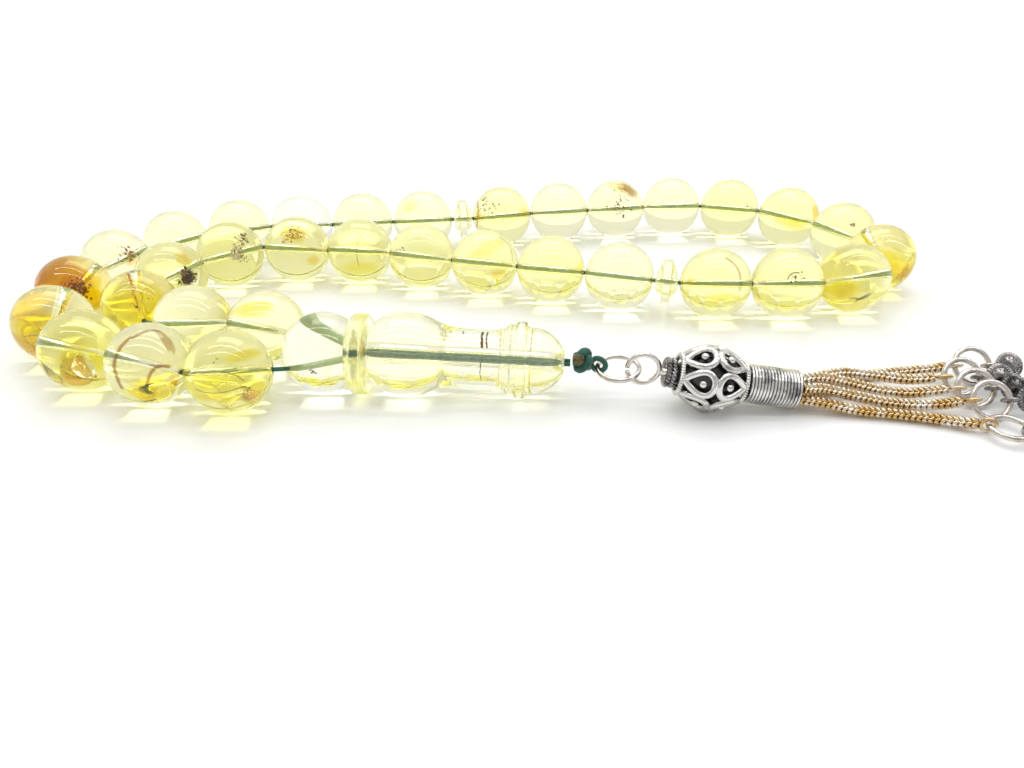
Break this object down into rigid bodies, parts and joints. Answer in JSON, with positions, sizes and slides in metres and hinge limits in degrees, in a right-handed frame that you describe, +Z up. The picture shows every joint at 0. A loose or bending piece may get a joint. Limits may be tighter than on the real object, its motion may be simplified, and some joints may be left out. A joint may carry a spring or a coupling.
{
  "type": "misbaha prayer beads",
  "caption": "Strand of round honey-yellow amber prayer beads on a cord, with two spacer discs, a head bead, a disc and a long turned head piece, ending in a silver filigree tassel with chains.",
  "frame": {"origin": "on the table, below the middle of the whole string as it lies", "axes": "+X along the string from the loop's left end to the tassel's charms, +Y from the head piece towards the far side of the loop, +Z up"},
  "size_m": [0.1568, 0.0857, 0.0121],
  "materials": {
    "amber": "polished, transparent",
    "cord": "twisted thread",
    "silver": "polished with dark oxidised recesses"
  },
  "bodies": {
    "strand": {"stringing_cord": "cord", "cord_knot": "cord", "head_bead": "amber"},
    "bead_01": {"bead_01": "amber"},
    "bead_02": {"bead_02": "amber"},
    "bead_03": {"bead_03": "amber"},
    "bead_04": {"bead_04": "amber"},
    "bead_05": {"bead_05": "amber"},
    "bead_06": {"bead_06": "amber"},
    "bead_07": {"bead_07": "amber"},
    "bead_08": {"bead_08": "amber"},
    "bead_09": {"bead_09": "amber"},
    "bead_10": {"bead_10": "amber"},
    "bead_11": {"bead_11": "amber"},
    "spacer_disc_1": {"spacer_disc_1": "amber"},
    "bead_12": {"bead_12": "amber"},
    "bead_13": {"bead_13": "amber"},
    "bead_14": {"bead_14": "amber"},
    "bead_15": {"bead_15": "amber"},
    "bead_16": {"bead_16": "amber"},
    "bead_17": {"bead_17": "amber"},
    "bead_18": {"bead_18": "amber"},
    "bead_19": {"bead_19": "amber"},
    "bead_20": {"bead_20": "amber"},
    "bead_21": {"bead_21": "amber"},
    "bead_22": {"bead_22": "amber"},
    "spacer_disc_2": {"spacer_disc_2": "amber"},
    "bead_23": {"bead_23": "amber"},
    "bead_24": {"bead_24": "amber"},
    "bead_25": {"bead_25": "amber"},
    "bead_26": {"bead_26": "amber"},
    "bead_27": {"bead_27": "amber"},
    "bead_28": {"bead_28": "amber"},
    "bead_29": {"bead_29": "amber"},
    "bead_30": {"bead_30": "amber"},
    "bead_31": {"bead_31": "amber"},
    "bead_32": {"bead_32": "amber"},
    "bead_33": {"bead_33": "amber"},
    "head_disc": {"head_disc": "amber"},
    "imame": {"imame": "amber"},
    "jump_ring": {"jump_ring": "silver"},
    "tassel_head": {"eye_pin": "silver", "rope_collar": "silver", "filigree_cage": "silver", "ferrule": "silver"},
    "tassel_chain_1": {"tassel_chain_1": "silver"},
    "end_ring_1": {"end_ring_1": "silver"},
    "charm_1": {"charm_1": "silver"},
    "tassel_chain_2": {"tassel_chain_2": "silver"},
    "end_ring_2": {"end_ring_2": "silver"},
    "charm_2": {"charm_2": "silver"},
    "tassel_chain_3": {"tassel_chain_3": "silver"},
    "end_ring_3": {"end_ring_3": "silver"},
    "charm_3": {"charm_3": "silver"},
    "tassel_chain_4": {"tassel_chain_4": "silver"},
    "end_ring_4": {"end_ring_4": "silver"},
    "charm_4": {"charm_4": "silver"},
    "tassel_chain_5": {"tassel_chain_5": "silver"},
    "end_ring_5": {"end_ring_5": "silver"},
    "charm_5": {"charm_5": "silver"}
  },
  "joints": [
    {"name": "bead_01_slide", "type": "slide", "parent": "strand", "child": "bead_01", "axis": [0.997, 0.0777, 0], "range_m": [0, 0.0012]},
    {"name": "bead_02_spin", "type": "hinge", "parent": "strand", "child": "bead_02", "pos_m": [-0.04969, -0.02879, 0.006], "axis": [-0.9224, 0.3863, 0], "continuous": true},
    {"name": "bead_03_spin", "type": "hinge", "parent": "strand", "child": "bead_03", "pos_m": [-0.06119, -0.0245, 0.006], "axis": [-0.944, 0.3298, 0], "continuous": true},
    {"name": "bead_04_spin", "type": "hinge", "parent": "strand", "child": "bead_04", "pos_m": [-0.06983, -0.01581, 0.006], "axis": [-0.3269, 0.9451, 0], "continuous": true},
    {"name": "bead_05_spin", "type": "hinge", "parent": "strand", "child": "bead_05", "pos_m": [-0.0723, -0.00383, 0.006], "axis": [-0.0881, 0.9961, 0], "continuous": true},
    {"name": "bead_06_spin", "type": "hinge", "parent": "strand", "child": "bead_06", "pos_m": [-0.0704, 0.00825, 0.006], "axis": [0.411, 0.9116, 0], "continuous": true},
    {"name": "bead_07_spin", "type": "hinge", "parent": "strand", "child": "bead_07", "pos_m": [-0.063, 0.018, 0.006], "axis": [0.7506, 0.6608, 0], "continuous": true},
    {"name": "bead_08_spin", "type": "hinge", "parent": "strand", "child": "bead_08", "pos_m": [-0.05251, 0.0243, 0.006], "axis": [0.944, 0.3298, 0], "continuous": true},
    {"name": "bead_09_spin", "type": "hinge", "parent": "strand", "child": "bead_09", "pos_m": [-0.04048, 0.02664, 0.006], "axis": [0.9976, 0.0686, 0], "continuous": true},
    {"name": "bead_10_spin", "type": "hinge", "parent": "strand", "child": "bead_10", "pos_m": [-0.02829, 0.02782, 0.006], "axis": [0.9946, 0.1036, 0], "continuous": true},
    {"name": "bead_11_spin", "type": "hinge", "parent": "strand", "child": "bead_11", "pos_m": [-0.01609, 0.02894, 0.006], "axis": [0.995, 0.0999, 0], "continuous": true},
    {"name": "spacer_disc_1_spin", "type": "hinge", "parent": "strand", "child": "spacer_disc_1", "pos_m": [-0.00795, 0.02996, 0.006], "axis": [0.9925, 0.1226, 0], "continuous": true},
    {"name": "bead_12_spin", "type": "hinge", "parent": "strand", "child": "bead_12", "pos_m": [0.00015, 0.03124, 0.006], "axis": [0.9758, 0.2188, 0], "continuous": true},
    {"name": "bead_13_spin", "type": "hinge", "parent": "strand", "child": "bead_13", "pos_m": [0.01216, 0.03364, 0.006], "axis": [0.9898, 0.1427, 0], "continuous": true},
    {"name": "bead_14_spin", "type": "hinge", "parent": "strand", "child": "bead_14", "pos_m": [0.02431, 0.03518, 0.006], "axis": [0.9909, 0.1343, 0], "continuous": true},
    {"name": "bead_15_spin", "type": "hinge", "parent": "strand", "child": "bead_15", "pos_m": [0.03648, 0.0365, 0.006], "axis": [0.9989, 0.0477, 0], "continuous": true},
    {"name": "bead_16_spin", "type": "hinge", "parent": "strand", "child": "bead_16", "pos_m": [0.04861, 0.03482, 0.006], "axis": [0.9635, -0.2678, 0], "continuous": true},
    {"name": "bead_17_spin", "type": "hinge", "parent": "strand", "child": "bead_17", "pos_m": [0.05949, 0.02922, 0.006], "axis": [0.7465, -0.6654, 0], "continuous": true},
    {"name": "bead_18_spin", "type": "hinge", "parent": "strand", "child": "bead_18", "pos_m": [0.06718, 0.01967, 0.006], "axis": [0.521, -0.8536, 0], "continuous": true},
    {"name": "bead_19_spin", "type": "hinge", "parent": "strand", "child": "bead_19", "pos_m": [0.06959, 0.00768, 0.006], "axis": [-0.1739, -0.9848, 0], "continuous": true},
    {"name": "bead_20_spin", "type": "hinge", "parent": "strand", "child": "bead_20", "pos_m": [0.06129, -0.00134, 0.006], "axis": [-0.9616, -0.2744, 0], "continuous": true},
    {"name": "bead_21_spin", "type": "hinge", "parent": "strand", "child": "bead_21", "pos_m": [0.04921, -0.00326, 0.006], "axis": [-0.9998, -0.0177, 0], "continuous": true},
    {"name": "bead_22_spin", "type": "hinge", "parent": "strand", "child": "bead_22", "pos_m": [0.03697, -0.00303, 0.006], "axis": [-0.9993, 0.0371, 0], "continuous": true},
    {"name": "spacer_disc_2_spin", "type": "hinge", "parent": "strand", "child": "spacer_disc_2", "pos_m": [0.02884, -0.00201, 0.006], "axis": [-0.9741, 0.226, 0], "continuous": true},
    {"name": "bead_23_spin", "type": "hinge", "parent": "strand", "child": "bead_23", "pos_m": [0.02094, 0.00018, 0.006], "axis": [-0.9559, 0.2936, 0], "continuous": true},
    {"name": "bead_24_spin", "type": "hinge", "parent": "strand", "child": "bead_24", "pos_m": [0.00912, 0.00338, 0.006], "axis": [-0.9714, 0.2375, 0], "continuous": true},
    {"name": "bead_25_spin", "type": "hinge", "parent": "strand", "child": "bead_25", "pos_m": [-0.00271, 0.00656, 0.006], "axis": [-0.964, 0.266, 0], "continuous": true},
    {"name": "bead_26_spin", "type": "hinge", "parent": "strand", "child": "bead_26", "pos_m": [-0.01451, 0.00984, 0.006], "axis": [-0.955, 0.2966, 0], "continuous": true},
    {"name": "bead_27_spin", "type": "hinge", "parent": "strand", "child": "bead_27", "pos_m": [-0.02638, 0.01288, 0.006], "axis": [-0.9887, 0.1502, 0], "continuous": true},
    {"name": "bead_28_spin", "type": "hinge", "parent": "strand", "child": "bead_28", "pos_m": [-0.03857, 0.0142, 0.006], "axis": [-0.9882, 0.1533, 0], "continuous": true},
    {"name": "bead_29_spin", "type": "hinge", "parent": "strand", "child": "bead_29", "pos_m": [-0.05057, 0.01175, 0.006], "axis": [-0.7942, -0.6077, 0], "continuous": true},
    {"name": "bead_30_spin", "type": "hinge", "parent": "strand", "child": "bead_30", "pos_m": [-0.05802, 0.00205, 0.006], "axis": [-0.4572, -0.8894, 0], "continuous": true},
    {"name": "bead_31_spin", "type": "hinge", "parent": "strand", "child": "bead_31", "pos_m": [-0.05848, -0.01019, 0.006], "axis": [0.4496, -0.8932, 0], "continuous": true},
    {"name": "bead_32_spin", "type": "hinge", "parent": "strand", "child": "bead_32", "pos_m": [-0.04778, -0.0162, 0.006], "axis": [0.9997, 0.0237, 0], "continuous": true},
    {"name": "bead_33_spin", "type": "hinge", "parent": "strand", "child": "bead_33", "pos_m": [-0.03572, -0.01846, 0.006], "axis": [0.9434, -0.3316, 0], "continuous": true},
    {"name": "head_disc_spin", "type": "hinge", "parent": "strand", "child": "head_disc", "pos_m": [-0.0199, -0.0263, 0.00598], "axis": [0.9973, -0.0733, 0], "continuous": true},
    {"name": "imame_spin", "type": "hinge", "parent": "strand", "child": "imame", "pos_m": [-0.0183, -0.0262, 0.0062], "axis": [0.9969, -0.0732, -0.0286], "continuous": true},
    {"name": "jump_ring_swing", "type": "hinge", "parent": "strand", "child": "jump_ring", "pos_m": [0.01445, -0.0284, 0.0051], "axis": [-0.3732, -0.9237, -0.0872], "range_deg": [0, 45]},
    {"name": "tassel_swing", "type": "hinge", "parent": "jump_ring", "child": "tassel_head", "pos_m": [0.01992, -0.03061, 0.0051], "axis": [-0.3732, -0.9237, -0.0872], "range_deg": [0, 60]},
    {"name": "chain_1_swing", "type": "hinge", "parent": "tassel_head", "child": "tassel_chain_1", "pos_m": [0.04183, -0.03348, 0.00218], "axis": [0, 0, -1], "range_deg": [0, 15]},
    {"name": "end_ring_1_swing", "type": "hinge", "parent": "tassel_chain_1", "child": "end_ring_1", "pos_m": [0.0662, -0.0389, 0.0013], "axis": [0, 0, 1], "range_deg": [-15, 0]},
    {"name": "charm_1_swing", "type": "hinge", "parent": "end_ring_1", "child": "charm_1", "pos_m": [0.07122, -0.04025, 0.0013], "axis": [0, 0, 1], "range_deg": [-15, 0]},
    {"name": "chain_2_swing", "type": "hinge", "parent": "tassel_head", "child": "tassel_chain_2", "pos_m": [0.04206, -0.03346, 0.00386], "axis": [0, -0.766, 0.6428], "range_deg": [0, 6]},
    {"name": "end_ring_2_swing", "type": "hinge", "parent": "tassel_chain_2", "child": "end_ring_2", "pos_m": [0.066, -0.0345, 0.0024], "axis": [0, -0.766, 0.6428], "range_deg": [-15, 15]},
    {"name": "charm_2_swing", "type": "hinge", "parent": "end_ring_2", "child": "charm_2", "pos_m": [0.0712, -0.0345, 0.0024], "axis": [0, -0.766, 0.6428], "range_deg": [-15, 15]},
    {"name": "chain_3_swing", "type": "hinge", "parent": "tassel_head", "child": "tassel_chain_3", "pos_m": [0.04221, -0.03184, 0.00436], "axis": [0, -0.766, 0.6428], "range_deg": [0, 15]},
    {"name": "end_ring_3_swing", "type": "hinge", "parent": "tassel_chain_3", "child": "end_ring_3", "pos_m": [0.0654, -0.0314, 0.0024], "axis": [0, -0.766, 0.6428], "range_deg": [-15, 15]},
    {"name": "charm_3_swing", "type": "hinge", "parent": "end_ring_3", "child": "charm_3", "pos_m": [0.0706, -0.0314, 0.0024], "axis": [0, -0.766, 0.6428], "range_deg": [-15, 15]},
    {"name": "chain_4_swing", "type": "hinge", "parent": "tassel_head", "child": "tassel_chain_4", "pos_m": [0.04207, -0.03085, 0.00297], "axis": [0, -0.766, 0.6428], "range_deg": [0, 5]},
    {"name": "end_ring_4_swing", "type": "hinge", "parent": "tassel_chain_4", "child": "end_ring_4", "pos_m": [0.065, -0.0283, 0.0024], "axis": [0, -0.766, 0.6428], "range_deg": [-15, 15]},
    {"name": "charm_4_swing", "type": "hinge", "parent": "end_ring_4", "child": "charm_4", "pos_m": [0.0702, -0.0283, 0.0024], "axis": [0, -0.766, 0.6428], "range_deg": [-15, 15]},
    {"name": "chain_5_swing", "type": "hinge", "parent": "tassel_head", "child": "tassel_chain_5", "pos_m": [0.04183, -0.03187, 0.00163], "axis": [0, 0, 1], "range_deg": [0, 15]},
    {"name": "end_ring_5_swing", "type": "hinge", "parent": "tassel_chain_5", "child": "end_ring_5", "pos_m": [0.0681, -0.0251, 0.0024], "axis": [0, -0.766, 0.6428], "range_deg": [-15, 15]},
    {"name": "charm_5_swing", "type": "hinge", "parent": "end_ring_5", "child": "charm_5", "pos_m": [0.0733, -0.0251, 0.0024], "axis": [0, -0.766, 0.6428], "range_deg": [-15, 15]}
  ]
}
